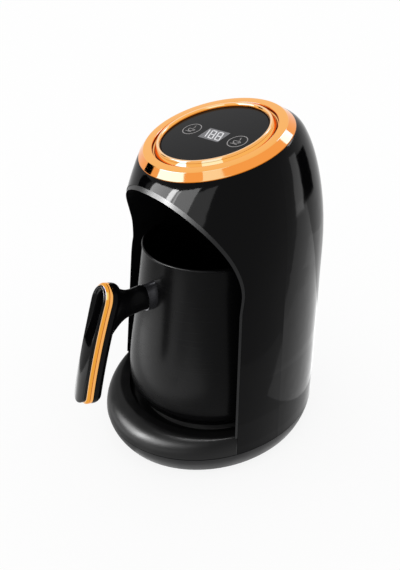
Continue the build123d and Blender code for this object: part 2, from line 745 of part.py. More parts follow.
def grip_slab(front_off, rear_off):
    """Layer of the grip between two set-back copies of its front curve."""
    front, rear = grip_front(front_off), grip_front(rear_off)
    profile = make_face(
        [
            ThreePointArc(*front),
            Line(front[-1], rear[-1]),
            ThreePointArc(*reversed(rear)),
            Line(rear[0], front[0]),
        ]
    )
    side_view = Plane(origin=(-20, 0, 0), x_dir=(0, 1, 0), z_dir=(1, 0, 0))
    return grip_plane.location * (side_view.location * extrude(profile, 40))


def grip_outline(inset):
    """Face view of the grip: an oval top, straight sides and a smaller round foot."""
    wide, tall = GRIP_TOP_HALF - inset, GRIP_TOP_LONG - inset
    low_r = GRIP_BOTTOM_HALF - inset
    top_v, low_v = GRIP_TOP - GRIP_TOP_LONG, GRIP_BOTTOM + GRIP_BOTTOM_HALF
    lean = 0.0
    for _ in range(5):
        reach = sqrt(wide**2 * (1 - lean**2) + (tall * lean) ** 2)
        lean = (reach - low_r) / (top_v - low_v)
    side = sqrt(1 - lean**2)
    top_corner = (wide**2 * side / reach, top_v - tall**2 * lean / reach)
    low_corner = (low_r * side, low_v - low_r * lean)
    hull = make_face(
        Polyline(
            (-top_corner[0], top_corner[1]),
            top_corner,
            low_corner,
            (-low_corner[0], low_corner[1]),
            close=True,
        )
    )
    return hull + Pos(0, top_v) * Ellipse(wide, tall) + Pos(0, low_v) * Circle(low_r)


def grip_column(inset):
    """The face view drawn out through the whole grip."""
    return grip_plane.location * (Pos(0, 0, -30) * extrude(grip_outline(inset), 50))


def handle_core():
    """Gloss neck and back half of the grip in one moulding."""
    shell = grip_column(0) & grip_slab(TRIM_REAR, GRIP_DEPTH)
    shell = fillet(shell.faces().sort_by(grip_outward)[0].edges(), GRIP_REAR_ROUND)
    ovals = []
    for y, low, high, half_width in NECK_STATIONS:
        ovals.append(neck_oval(y, (low + high) / 2, (high - low) / 2, half_width))
    neck = Part() + Solid.make_loft(ovals, ruled=False)
    core = shell + (neck - grip_slab(-20, TRIM_REAR))
    core -= rod_y(STUD_R + 0.1, -58.4, -40, 0, NECK_Z)
    core -= rod_y(STUD_BORE_R + 0.1, -100, -58, 0, NECK_Z)
    return core - rod_y(3.6, -110, HEAD_FACE_Y, 0, NECK_Z)


def handle_trim():
    """Gold band round the grip: bevelled in front, with a fine groove along its side."""
    band = grip_column(0.0) & grip_slab(TRIM_FRONT, TRIM_REAR - 0.03)
    band = chamfer(band.faces().sort_by(grip_outward)[-1].edges(), TRIM_BEVEL)
    band -= grip_column(TRIM_BEVEL + 1.0)
    middle = (TRIM_FRONT + TRIM_BEVEL + TRIM_REAR) / 2
    groove = (grip_column(-1) - grip_column(0.35)) & grip_slab(middle - 0.25, middle + 0.25)
    return band - groove


def front_height(v):
    """Height of the grip's front curve at v along the grip."""
    total = 0.0
    for i, (v_i, n_i) in enumerate(FRONT_CURVE):
        others = [v_k for k, (v_k, n_k) in enumerate(FRONT_CURVE) if k != i]
        total += n_i * (v - others[0]) * (v - others[1]) / ((v_i - others[0]) * (v_i - others[1]))
    return total


def face_form():
    """Filled form of the face plate: crowned across, standing proud at its foot."""
    wires = []
    for v, rise, crown in FACE_STATIONS:
        share = (GRIP_TOP - v) / (GRIP_TOP - GRIP_BOTTOM)
        half = GRIP_TOP_HALF + (GRIP_BOTTOM_HALF - GRIP_TOP_HALF) * share - FACE_INSET
        edge = front_height(v) + rise
        across = (-12.0, -6.0, 0.0, 6.0, 12.0)
        top = [(u, edge + crown * (1 - (u / half) ** 2)) for u in across]
        points = [grip_plane.from_local_coords((u, v, n)) for u, n in top]
        low = [grip_plane.from_local_coords((u, v, -12.0)) for u in (12.0, -12.0)]
        sides = [Edge.make_line(points[-1], low[0]), Edge.make_line(low[0], low[1])]
        sides.append(Edge.make_line(low[1], points[0]))
        wires.append(Wire([Edge.make_spline(points)] + sides))
    return Part() + Solid.make_loft(wires, ruled=False)


def thumb_dish():
    """Shallow hollow in the upper half of the face plate, running out above its crown."""
    floor = ThreePointArc(*DISH_FLOOR)
    top = 20.0
    profile = make_face(
        [
            floor,
            Line(DISH_FLOOR[-1], (DISH_FLOOR[-1][0], top)),
            Line((DISH_FLOOR[-1][0], top), (DISH_FLOOR[0][0], top)),
            Line((DISH_FLOOR[0][0], top), DISH_FLOOR[0]),
        ]
    )
    side_view = Plane(origin=(-20, 0, 0), x_dir=(0, 1, 0), z_dir=(1, 0, 0))
    slab = grip_plane.location * (side_view.location * extrude(profile, 40))
    dish = slab & grip_column(DISH_INSET)
    return fillet(dish.faces().sort_by(grip_outward)[0].edges(), DISH_ROUND)


def handle_face():
    """Gloss plate on the front of the grip: crowned below, hollowed for the thumb above."""
    plate = grip_column(FACE_INSET) & grip_slab(-8.0, TRIM_FRONT - 0.03) & face_form()
    plate = fillet(plate.faces().sort_by(grip_outward)[-1].edges(), FACE_ROUND)
    plate += grip_column(TRIM_BEVEL + 1.1) & grip_slab(TRIM_FRONT - 0.1, TRIM_REAR - 0.1)
    plate -= thumb_dish()
    return plate - rod_y(3.7, HEAD_FACE_Y - 3.0, -60, 0, NECK_Z)


def handle_screw():
    """Long screw from behind the face plate into the weld stud."""
    screw = rod_y(3.3, HEAD_FACE_Y - 2.4, HEAD_FACE_Y - 0.02, 0, NECK_Z)
    return screw + rod_y(STUD_BORE_R - 0.05, HEAD_FACE_Y - 0.1, -49.0, 0, NECK_Z)


# ---------------------------------------------------------------- write every piece
PIECES = (
    outer_casing, shell_lugs, bay_liner, base_platform, base_tray, rubber_feet, base_screws,
    cord_gland, gold_bezel, gold_inner_ring, touch_glass, panel_frame, control_board, display_module,
    touch_springs, board_screws, buzzer, foam_sensor, sensor_window,
    heating_plate, heating_element, plate_seal, plate_bracket, bracket_screws,
    sensor_guide, sensor_probe, sensor_spring, thermal_fuse,
    power_board, relay, supply_transformer, smoothing_capacitor, terminal_block, board_fixings,
    pot_body, pot_collar, weld_stud, handle_core, handle_trim, handle_face, handle_screw,
)

for piece in PIECES:
    export(piece.__name__, piece())
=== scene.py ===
# %% [markdown]
# # Electric turkish coffee maker
# The solids of this machine are made elsewhere and arrive here packed as one frame. This
# lesson gives them their finishes, adds the printed marks on the glass and other fine
# pieces that are too small for the solids, and lights the whole in a plain white studio.
# Everything is in metres, +Z is up, and the front with its arch faces -Y.

from math import asin, cos, pi, radians, sin, sqrt

import bmesh
import bpy
from mathutils import Matrix, Vector


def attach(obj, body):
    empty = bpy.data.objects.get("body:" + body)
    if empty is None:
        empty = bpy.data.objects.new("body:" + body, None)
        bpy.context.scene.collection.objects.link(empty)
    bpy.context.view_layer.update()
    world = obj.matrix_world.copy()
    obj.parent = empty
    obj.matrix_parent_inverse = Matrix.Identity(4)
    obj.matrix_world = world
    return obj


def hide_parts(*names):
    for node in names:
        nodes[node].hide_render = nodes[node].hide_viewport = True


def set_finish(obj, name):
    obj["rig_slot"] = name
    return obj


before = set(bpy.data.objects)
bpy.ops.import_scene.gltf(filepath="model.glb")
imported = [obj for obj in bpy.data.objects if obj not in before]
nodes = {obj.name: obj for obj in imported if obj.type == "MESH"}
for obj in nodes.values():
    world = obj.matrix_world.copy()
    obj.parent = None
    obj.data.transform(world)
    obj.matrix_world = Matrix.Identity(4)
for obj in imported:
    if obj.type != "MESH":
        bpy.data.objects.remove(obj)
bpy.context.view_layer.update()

# %% [markdown]
# ## Names for the main sizes
# A few sizes of the machine are needed again and again: where the pot's axis stands, and
# how the round panel on top lies. They are written once, in metres and degrees. Heights
# count from a level plane a little above the table, which is where the pot's axis starts.
# Fine shapes further down are drawn in millimetres and divided down at the last step.

# %% main sizes
MM_PER_METRE = 1000
POT_BEHIND_MIDDLE = 0.0114
LEVEL_OVER_TABLE = 0.007
POT_AXIS = Vector((0.0, POT_BEHIND_MIDDLE, LEVEL_OVER_TABLE))
PANEL_TILT = radians(15.8)
PANEL_CENTRE = Vector((0.0, 0.0051, 0.1934)) + POT_AXIS
PANEL_NORMAL = Vector((0.0, -sin(PANEL_TILT), cos(PANEL_TILT)))
PANEL_UP = Vector((0.0, cos(PANEL_TILT), sin(PANEL_TILT)))
print("panel centre", [round(v, 4) for v in PANEL_CENTRE])

# %% [markdown]
# ## The camera
# A camera is easiest to place by three turns: which way it looks in plan, how far it
# looks down, and how much it rolls. Its rotation matrix is then built from the three
# directions right, up and backwards. The lens is long enough to keep the shell upright.

# %% camera
PIXELS_WIDE = 400
FOCAL_PIXELS = 587.09
SENSOR_MM = 36.0
NEAREST, FARTHEST = 0.02, 60.0
CAMERA_PLACE = Vector((0.25631, -0.21646, 0.28917)) + POT_AXIS
LOOK_TURN, LOOK_DOWN, LOOK_ROLL = radians(50.880), radians(30.308), radians(-1.270)

level_forward = Vector((-sin(LOOK_TURN), cos(LOOK_TURN), 0.0))
forward = level_forward * cos(LOOK_DOWN) - Vector((0.0, 0.0, sin(LOOK_DOWN)))
level_right = Vector((cos(LOOK_TURN), sin(LOOK_TURN), 0.0))
level_up = level_right.cross(forward)
right = cos(LOOK_ROLL) * level_right + sin(LOOK_ROLL) * level_up
up = -sin(LOOK_ROLL) * level_right + cos(LOOK_ROLL) * level_up
camera_data = bpy.data.cameras.new("camera")
camera_data.sensor_width = SENSOR_MM
camera_data.sensor_fit = "HORIZONTAL"
camera_data.lens = FOCAL_PIXELS * SENSOR_MM / PIXELS_WIDE
camera_data.clip_start, camera_data.clip_end = NEAREST, FARTHEST
camera = bpy.data.objects.new("camera", camera_data)
camera_turn = Matrix((right, up, -forward)).transposed()
camera.matrix_world = Matrix.Translation(CAMERA_PLACE) @ camera_turn.to_4x4()
bpy.context.scene.collection.objects.link(camera)
bpy.context.scene.camera = camera
print("lens", round(camera_data.lens, 2), "mm")

# %% [markdown]
# ## Helpers for finishes
# A finish is a small graph of nodes that ends in one Principled shader. Most finishes
# here need the same three things: a colour, a roughness that varies a little from place
# to place, and a bump from noise. So one helper makes the shader, one adds noise in the
# object's own space, and two more lead a value to the roughness or to the bump.

# %% finish helpers
NOISE_LOW, NOISE_HIGH = 0.3, 0.7


def new_finish(name, colour, roughness=0.5, metallic=0.0, specular=0.5):
    """A material with one Principled shader."""
    finish = bpy.data.materials.new(name)
    finish.use_nodes = True
    shader = finish.node_tree.nodes["Principled BSDF"]
    shader.inputs["Base Color"].default_value = (*colour, 1.0)
    shader.inputs["Roughness"].default_value = roughness
    shader.inputs["Metallic"].default_value = metallic
    shader.inputs["Specular IOR Level"].default_value = specular
    return finish


def add_node(finish, kind, **settings):
    """One node of a finish, with its settings given by name."""
    node = finish.node_tree.nodes.new(kind)
    for key, value in settings.items():
        setattr(node, key, value)
    return node


def link(finish, source, target):
    """Joins an output of a finish's graph to an input."""
    finish.node_tree.links.new(source, target)


def shader_of(finish):
    """The Principled shader of a finish."""
    return finish.node_tree.nodes["Principled BSDF"]


def noise_in(finish, scale, detail=3.0, stretch=(1.0, 1.0, 1.0)):
    """Noise in the object's own space; scale counts features per metre."""
    place = add_node(finish, "ShaderNodeTexCoord")
    mapping = add_node(finish, "ShaderNodeMapping")
    mapping.inputs["Scale"].default_value = stretch
    noise = add_node(finish, "ShaderNodeTexNoise")
    noise.inputs["Scale"].default_value = scale
    noise.inputs["Detail"].default_value = detail
    link(finish, place.outputs["Object"], mapping.inputs["Vector"])
    link(finish, mapping.outputs["Vector"], noise.inputs["Vector"])
    return noise.outputs["Fac"]


def spread(finish, value, low, high):
    """Maps noise, which mostly lies between two limits, onto a new range."""
    ramp = add_node(finish, "ShaderNodeMapRange")
    ramp.inputs["From Min"].default_value = NOISE_LOW
    ramp.inputs["From Max"].default_value = NOISE_HIGH
    ramp.inputs["To Min"].default_value = low
    ramp.inputs["To Max"].default_value = high
    link(finish, value, ramp.inputs["Value"])
    return ramp.outputs["Result"]


def vary_roughness(finish, value, low, high):
    """Lets a value move the roughness between two limits."""
    link(finish, spread(finish, value, low, high), shader_of(finish).inputs["Roughness"])


def add_bump(finish, height, strength, distance):
    """Turns a value into fine relief; distance is the relief's depth in metres."""
    bump = add_node(finish, "ShaderNodeBump")
    bump.inputs["Strength"].default_value = strength
    bump.inputs["Distance"].default_value = distance
    link(finish, height, bump.inputs["Height"])
    link(finish, bump.outputs["Normal"], shader_of(finish).inputs["Normal"])


def wear(node_name, finish):
    """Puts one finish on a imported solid."""
    mesh = nodes[node_name].data
    mesh.materials.clear()
    mesh.materials.append(finish)


print("helpers ready")

# %% [markdown]
# ## Gloss shell
# The shell is black plastic, polished like a piano. Its colour is almost nothing: what
# the eye sees is the room in it. A polished mould still leaves the faintest waviness,
# and handling leaves patches that are a shade less sharp, so both are very weak noise.

# %% gloss shell
PIANO_BLACK = (0.0012, 0.0012, 0.0014)
gloss_shell = new_finish("piano_black", PIANO_BLACK, roughness=0.06, specular=0.065)
vary_roughness(gloss_shell, noise_in(gloss_shell, 35.0, 4.0), 0.05, 0.1)
add_bump(gloss_shell, noise_in(gloss_shell, 14.0, 1.0), 0.05, 0.0006)
wear("outer_casing", gloss_shell)
print("finish", gloss_shell.name)

# %% [markdown]
# ## Satin plastics
# The bay's liner, the ring in front and the tray are moulded with a fine spark-eroded
# grain. Grain is noise at about three features per millimetre, used as a bump, with a
# slower noise in the roughness so that broad highlights aren't perfectly even.

# %% satin plastics
def satin_plastic(name, colour, roughness, grain=0.08, specular=0.4):
    """Moulded plastic or rubber with a fine grain."""
    finish = new_finish(name, colour, roughness, specular=specular)
    vary_roughness(finish, noise_in(finish, 60.0, 3.0), roughness - 0.04, roughness + 0.05)
    add_bump(finish, noise_in(finish, 2600.0, 2.0), grain, 0.00006)
    return finish


liner_satin = satin_plastic("liner_satin", (0.003, 0.003, 0.0035), 0.34, specular=0.22)
ring_satin = satin_plastic("ring_satin", (0.003, 0.003, 0.0032), 0.34, specular=0.13)
tray_matte = satin_plastic("tray_matte", (0.006, 0.006, 0.0065), 0.42, grain=0.14, specular=0.1)
wear("bay_liner", liner_satin)
wear("base_platform", ring_satin)
for name in ("base_tray", "cord_gland", "panel_frame", "foam_sensor", "buzzer", "shell_lugs"):
    wear(name, tray_matte)
print("satin finishes on liner, ring and tray")

# %% [markdown]
# ## Rose gold
# The rings and the handle's band are plastic with a bright copper-gold plating. Plating
# is a metal, so its colour sits in the base colour with metallic at one. Each ring is
# given several tones of the same plate, from a pale peach to a brown that is almost black,
# and these tones paint light and shade: the pale ones are painted highlights, the deep and
# brown ones painted shade in grooves and on steep walls.

# %% rose gold
# Pale and peach paint highlights and bright reflections on the plate; deep and brown paint shade
# and dark reflections; warm, honey and amber lie between them.
GOLD_TONES_WITH_PAINTED_LIGHT = {
    "pale": (0.98, 0.62, 0.34),
    "peach": (0.95, 0.44, 0.1),
    "warm": (0.93, 0.44, 0.12),
    "honey": (0.84, 0.36, 0.045),
    "amber": (0.92, 0.32, 0.06),
    "deep": (0.6, 0.17, 0.012),
    "brown": (0.16, 0.04, 0.004),
}


def gold_plate(name, colour):
    """Polished plating in one tone."""
    finish = new_finish(name, colour, roughness=0.06, metallic=1.0)
    vary_roughness(finish, noise_in(finish, 90.0, 4.0), 0.04, 0.08)
    add_bump(finish, noise_in(finish, 260.0, 2.0), 0.01, 0.00003)
    return finish


tone_names_with_painted_light = list(GOLD_TONES_WITH_PAINTED_LIGHT)
gold_finishes_with_painted_light = [gold_plate("rose_gold_" + tone, colour) for tone, colour in GOLD_TONES_WITH_PAINTED_LIGHT.items()]
print("gold tones", tone_names_with_painted_light)

# %% [markdown]
# ## Rings of points to one mesh
# The panel's rings, the grip's band and its face plate are all made the same way: a row
# of closed rings with the same number of points each, joined by quads. Where rings meet
# in one spot, their points are merged. Every strip between two rings can have a finish of
# its own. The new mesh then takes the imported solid's place and moves with its body.

# %% rings to mesh
MERGE_DISTANCE = 1e-6


def ring_mesh(name, rings, finishes, slots, body, node_name, slot_name):
    """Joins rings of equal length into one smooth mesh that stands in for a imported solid."""
    mesh = bpy.data.meshes.new(name)
    count = len(rings[0])
    vertices = [point for ring in rings for point in ring]
    faces, face_slots = [], []
    for k in range(len(rings) - 1):
        for i in range(count):
            j = (i + 1) % count
            faces.append((k * count + i, k * count + j, (k + 1) * count + j, (k + 1) * count + i))
            face_slots.append(slots[k])
    mesh.from_pydata(vertices, [], faces)
    for finish in finishes:
        mesh.materials.append(finish)
    mesh.polygons.foreach_set("material_index", face_slots)
    mesh.polygons.foreach_set("use_smooth", [True] * len(faces))
    cleaned = bmesh.new()
    cleaned.from_mesh(mesh)
    bmesh.ops.remove_doubles(cleaned, verts=cleaned.verts, dist=MERGE_DISTANCE)
    bmesh.ops.recalc_face_normals(cleaned, faces=cleaned.faces)
    cleaned.to_mesh(mesh)
    cleaned.free()
    piece = bpy.data.objects.new(name, mesh)
    bpy.context.scene.collection.objects.link(piece)
    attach(piece, body)
    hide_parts(node_name)
    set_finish(piece, slot_name)
    return piece


print("ring helper ready")

# %% [markdown]
# ## The two gold rings of the panel
# A ring that is turned on a lathe is a profile carried round an axis. Reflections in
# polished metal show every facet, so the rings are made again here in many steps and
# with close pairs of points at the corners, which keep the flats flat and round only the
# edges. Each row of a profile is a radius, a height and the tone of the strip after it.

# %% gold rings
RING_STEPS = 240


def lathe_rings(profile):
    """Rings about the panel's axis from (radius, height, tone) in millimetres."""
    rings = []
    for radius, height, _ in profile:
        ring = []
        for i in range(RING_STEPS):
            t = 2 * pi * i / RING_STEPS
            spot = Vector((1, 0, 0)) * cos(t) + PANEL_UP * sin(t)
            ring.append(PANEL_CENTRE + (spot * radius + PANEL_NORMAL * height) / MM_PER_METRE)
        rings.append(ring)
    return rings


# The tones along each profile are painted light: pale and peach strips on the flats and the raised
# ring's top are painted highlights, deep and brown strips on the steep walls and in the grooves are
# painted shade.
BEZEL_PROFILE = [
    (36.35, -2.0, "brown"),
    (36.35, -1.6, "warm"),
    (37.3, -1.6, "brown"),
    (37.6, -1.5, "deep"),
    (37.62, -0.7, "amber"),
    (37.68, 0.1, "warm"),
    (37.85, 0.32, "warm"),
    (38.05, 0.39, "peach"),
    (38.3, 0.4, "peach"),
    (42.5, 0.4, "peach"),
    (42.8, 0.38, "warm"),
    (43.0, 0.26, "warm"),
    (43.16, 0.08, "amber"),
    (43.3, -0.07, "amber"),
    (46.65, -3.15, "amber"),
    (46.85, -3.36, "deep"),
    (46.97, -3.6, "deep"),
    (46.97, -3.78, "deep"),
    (44.2, -3.8, "deep"),
    (44.15, -6.3, "deep"),
]
INNER_PROFILE = [
    (32.3, -2.0, "brown"),
    (32.3, 0.25, "deep"),
    (32.5, 0.75, "peach"),
    (32.85, 1.45, "peach"),
    (33.1, 1.75, "pale"),
    (33.4, 1.88, "pale"),
    (33.6, 1.9, "pale"),
    (34.0, 1.9, "pale"),
    (34.2, 1.87, "warm"),
    (34.38, 1.72, "warm"),
    (34.5, 1.55, "warm"),
    (34.98, 0.8, "deep"),
    (35.1, 0.6, "peach"),
    (35.95, -0.62, "warm"),
    (36.1, -0.85, "amber"),
    (36.22, -1.05, "brown"),
    (36.25, -2.0, "brown"),
]
for ring_name, profile, node_name in (
    ("bezel_ring", BEZEL_PROFILE, "gold_bezel"),
    ("raised_ring", INNER_PROFILE, "gold_inner_ring"),
):
    slots = [tone_names_with_painted_light.index(tone) for _, _, tone in profile]
    rings = lathe_rings(profile)
    made = ring_mesh(ring_name, rings, gold_finishes_with_painted_light, slots, "machine", node_name, "gold")
    print(ring_name, len(made.data.polygons), "faces")

# %% [markdown]
# ## Pot, collar and handle
# The pot is steel with a baked satin coat, rubbed a little along its turning lines. The
# collar keeps a lighter metallic grey. The handle's face is as polished as the shell, and
# its neck and back are a little duller from the many hands that hold it.

# %% pot and handle
pot_coat = new_finish("pot_coat", (0.002, 0.002, 0.0022), roughness=0.26, specular=0.06)
vary_roughness(pot_coat, noise_in(pot_coat, 40.0, 4.0, stretch=(1.0, 1.0, 14.0)), 0.25, 0.28)
add_bump(pot_coat, noise_in(pot_coat, 1800.0, 2.0), 0.05, 0.00005)
collar_coat = new_finish("collar_coat", (0.06, 0.06, 0.066), roughness=0.22, metallic=0.85)
add_bump(collar_coat, noise_in(collar_coat, 1500.0, 2.0), 0.06, 0.00005)
handle_gloss = new_finish("handle_gloss", PIANO_BLACK, roughness=0.08, specular=0.11)
vary_roughness(handle_gloss, noise_in(handle_gloss, 60.0), 0.06, 0.11)
neck_gloss = new_finish("neck_gloss", PIANO_BLACK, roughness=0.24, specular=0.05)
add_bump(neck_gloss, noise_in(neck_gloss, 40.0, 1.0), 0.04, 0.0002)
wear("pot_body", pot_coat)
wear("pot_collar", collar_coat)
wear("handle_core", neck_gloss)
print("pot and handle finished")

# %% [markdown]
# ## Grip: one outline for two pieces
# The gold band and the black plate of the grip follow the same outline: an oval top,
# straight sides and a round foot. It is walked once, with the outward direction noted at
# each step, so that any inset copy is a shift along that direction. The grip's own frame
# has u across, v along the grip and n outward, all in millimetres. Its front is bent, as
# a slow parabola along its length.

# %% grip outline
GRIP_LEAN = radians(20.0)
GRIP_CENTRE = Vector((0.0, -0.0925, 0.086)) + POT_AXIS
GRIP_ALONG = Vector((0.0, sin(GRIP_LEAN), cos(GRIP_LEAN)))
GRIP_OUT = Vector((0.0, -cos(GRIP_LEAN), sin(GRIP_LEAN)))
TOP_END, TOP_HALF, TOP_LONG = 41.0, 8.0, 11.0
FOOT_END, FOOT_HALF = -37.0, 6.6
TOP_MIDDLE, FOOT_MIDDLE = TOP_END - TOP_LONG, FOOT_END + FOOT_HALF
FRONT_CURVE = (-0.0010276, 0.03667, 0.9308)
LEAN_ROUNDS = 6


def on_curve(curve, v):
    """Value at v of a parabola given by its three factors."""
    return curve[0] * v * v + curve[1] * v + curve[2]


def grip_point(u, v, n):
    """Point in the machine's frame from millimetres in the grip's own frame."""
    return GRIP_CENTRE + (Vector((1, 0, 0)) * u + GRIP_ALONG * v + GRIP_OUT * n) / MM_PER_METRE


def front_height(v):
    """The grip's front is a slow curve along its length."""
    return on_curve(FRONT_CURVE, v)


def mixed(one, other, share):
    """Weighted mean of two tuples."""
    return tuple(a + (b - a) * share for a, b in zip(one, other))


def side_lean():
    """Sine of the sides' lean, found by going round until it fits both ends."""
    lean = 0.0
    for _ in range(LEAN_ROUNDS):
        span = sqrt(TOP_HALF**2 * (1 - lean**2) + (TOP_LONG * lean) ** 2)
        lean = (span - FOOT_HALF) / (TOP_MIDDLE - FOOT_MIDDLE)
    return lean


def grip_walk(end_steps=40, side_steps=24):
    """Outline points (u, v) with their outward directions, counter-clockwise."""
    start = asin(-side_lean())
    top, foot = [], []
    for i in range(end_steps + 1):
        t = start + (pi - 2 * start) * i / end_steps
        size = sqrt((TOP_HALF * cos(t)) ** 2 + (TOP_LONG * sin(t)) ** 2)
        u, v = TOP_HALF**2 * cos(t) / size, TOP_MIDDLE + TOP_LONG**2 * sin(t) / size
        top.append((u, v, cos(t), sin(t)))
    for i in range(end_steps + 1):
        t = pi - start + (pi + 2 * start) * i / end_steps
        foot.append((FOOT_HALF * cos(t), FOOT_MIDDLE + FOOT_HALF * sin(t), cos(t), sin(t)))
    left = [mixed(top[-1], foot[0], i / side_steps) for i in range(1, side_steps)]
    right = [mixed(foot[-1], top[0], i / side_steps) for i in range(1, side_steps)]
    return top + left + foot + right


outline = grip_walk()
print("outline", len(outline), "points")

# %% [markdown]
# ## Gold band of the grip
# The band is one profile carried round the outline: a broad bevel in front, a fine
# groove along the side and a rounded rear edge. Its steps take different tones of the
# same plate that paint light and shade: pale on the bevel as a painted highlight, amber
# towards the groove and brown inside it as painted shade. Each row is an inset from the
# outline, a depth behind the grip's front and the tone of the strip after it.

# %% gold band
BAND_PROFILE = [
    (1.75, 1.6, "pale"),
    (1.62, 1.0, "pale"),
    (1.5, 0.92, "pale"),
    (1.3, 0.97, "pale"),
    (1.1, 1.14, "honey"),
    (0.5, 1.76, "honey"),
    (0.2, 2.12, "honey"),
    (0.05, 2.4, "amber"),
    (0.0, 2.7, "deep"),
    (0.14, 2.82, "brown"),
    (0.14, 2.98, "amber"),
    (0.0, 3.1, "warm"),
    (0.0, 4.7, "warm"),
    (0.05, 5.15, "warm"),
    (0.2, 5.35, "amber"),
    (0.9, 5.38, "amber"),
]
band_rings = []
for inset, depth, _ in BAND_PROFILE:
    ring = []
    for u, v, u_out, v_out in outline:
        u, v = u - inset * u_out, v - inset * v_out
        ring.append(grip_point(u, v, front_height(v) - depth))
    band_rings.append(ring)
band_painted_light_slots = [tone_names_with_painted_light.index(tone) for _, _, tone in BAND_PROFILE]
gold_band = ring_mesh(
    "gold_band", band_rings, gold_finishes_with_painted_light, band_painted_light_slots, "pot", "handle_trim", "gold"
)
print("band", len(gold_band.data.polygons), "faces")

# %% [markdown]
# ## Face plate of the grip
# The plate stands proud of the band at its foot and is crowned there; its upper half is
# hollowed for the thumb. Both shapes are heights over the outline: the crown is a
# parabola across, the hollow a slow curve along, and where they meet the lower one wins
# with a softened corner. Polished plastic mirrors that corner as one flowing line.

# %% face plate heights
FACE_INSET, FACE_ROUND, FACE_BACK = 1.5, 0.7, 1.2
DISH_INSET, DISH_WALL, DISH_SOFTNESS = 2.5, 1.3, 0.3
DISH_CURVE = (0.002945, -0.22349, 3.0488)
FACE_RISE = (
    (52.0, 0.0, 0.0),
    (34.0, 0.0, 0.1),
    (15.0, 0.15, 0.4),
    (-5.0, 0.6, 0.9),
    (-22.0, 1.1, 1.3),
    (-60.0, 1.3, 1.3),
)


def station(v):
    """Rise of the plate's edge and crown of its middle at v, from (v, rise, crown) rows."""
    for upper, lower in zip(FACE_RISE, FACE_RISE[1:]):
        if v >= lower[0]:
            share = (upper[0] - v) / (upper[0] - lower[0])
            return mixed(upper, lower, min(1.0, max(0.0, share)))[1:]
    return FACE_RISE[-1][1:]


def face_height(u, v, inset):
    """Height of the plate at a point that lies inset millimetres inside the outline."""
    rise, crown = station(v)
    down = (TOP_END - v) / (TOP_END - FOOT_END)
    half = TOP_HALF + (FOOT_HALF - TOP_HALF) * down - FACE_INSET
    height = front_height(v) + rise + crown * (1 - (u / half) ** 2)
    near_edge = FACE_INSET + FACE_ROUND - inset
    if near_edge > 0:
        height -= FACE_ROUND - sqrt(max(0.0, FACE_ROUND**2 - near_edge**2))
    deep = min(1.0, max(0.0, (inset - DISH_INSET) / DISH_WALL))
    deep = deep * deep * (3 - 2 * deep)
    over = height - on_curve(DISH_CURVE, v)
    soft = 0.5 * (over + sqrt(over * over + DISH_SOFTNESS**2))
    return height - soft * deep


print("crown at the foot", station(FOOT_MIDDLE)[1], "mm")

# %% [markdown]
# ## Mesh of the face plate
# The rings of the plate step inwards from the band in small steps where it curves and in
# larger ones in the hollow. The last rings close towards the middle line of the grip.

# %% face plate
EDGE_INSETS = (1.5, 1.51, 1.56, 1.66, 1.8, 2.0, 2.2, 2.4, 2.5, 2.6, 2.75, 2.9)
HOLLOW_INSETS = (3.1, 3.3, 3.5, 3.7, 3.85, 4.1, 4.4)
FULL_HOLLOW_INSET = 6.0
CENTRE_SHARES = (0.2, 0.4, 0.6, 0.8, 1.0)


def inset_spots(inset):
    """Outline points shifted inwards, as (u, v)."""
    return [(u - inset * a, v - inset * b) for u, v, a, b in outline]


back_ring = []
for (u, v), (_, v_outside, _, _) in zip(inset_spots(FACE_INSET), outline):
    back_ring.append(grip_point(u, v, front_height(v_outside) - FACE_BACK))
face_rings = [back_ring]
for inset in EDGE_INSETS + HOLLOW_INSETS:
    face_rings.append([grip_point(u, v, face_height(u, v, inset)) for u, v in inset_spots(inset)])
for share in CENTRE_SHARES:
    ring = []
    for u, v in inset_spots(HOLLOW_INSETS[-1]):
        on_middle = min(TOP_MIDDLE, max(FOOT_MIDDLE, v))
        u, v = u * (1 - share), v + (on_middle - v) * share
        ring.append(grip_point(u, v, face_height(u, v, FULL_HOLLOW_INSET)))
    face_rings.append(ring)
one_slot = [0] * len(face_rings)
face_plate = ring_mesh(
    "face_plate", face_rings, [handle_gloss], one_slot, "pot", "handle_face", "handle_gloss"
)
print("plate", len(face_plate.data.polygons), "faces")

# %% [markdown]
# ## Touch glass
# The glass on top is black because it is printed from behind. Seen from above it is a
# smooth dark disc with a slightly grey cast.

# %% touch glass
touch_black = new_finish("touch_black", (0.005, 0.005, 0.006), roughness=0.1, specular=0.06)
vary_roughness(touch_black, noise_in(touch_black, 50.0), 0.08, 0.13)
wear("touch_glass", touch_black)
print("finish", touch_black.name)

# %% [markdown]
# ## Marks on the glass
# The marks are printed behind the glass: a grey window with three slanted digits, and a
# round touch key on either side with a cup in it. Each mark is a set of flat polygons a
# hair above the glass. Strokes are drawn as ribbons: a path of points in millimetres on
# the panel is given a width, and the ribbon's corners go onto the tilted plane.

# %% panel drawing helpers
MARKS_SHIFT_MM = (2.0, -2.0)
WINDOW_LIFT, KEY_LIFT, DIGIT_LIFT = 0.02, 0.03, 0.04
MARKS_TURN = radians(2.2)


def panel_point(u_mm, v_mm, lift_mm):
    """Point of the panel in the machine's frame, from millimetres across and up the glass."""
    across = cos(MARKS_TURN) * u_mm - sin(MARKS_TURN) * v_mm + MARKS_SHIFT_MM[0]
    along = sin(MARKS_TURN) * u_mm + cos(MARKS_TURN) * v_mm + MARKS_SHIFT_MM[1]
    flat = Vector((1, 0, 0)) * across + PANEL_UP * along + PANEL_NORMAL * lift_mm
    return PANEL_CENTRE + flat / MM_PER_METRE


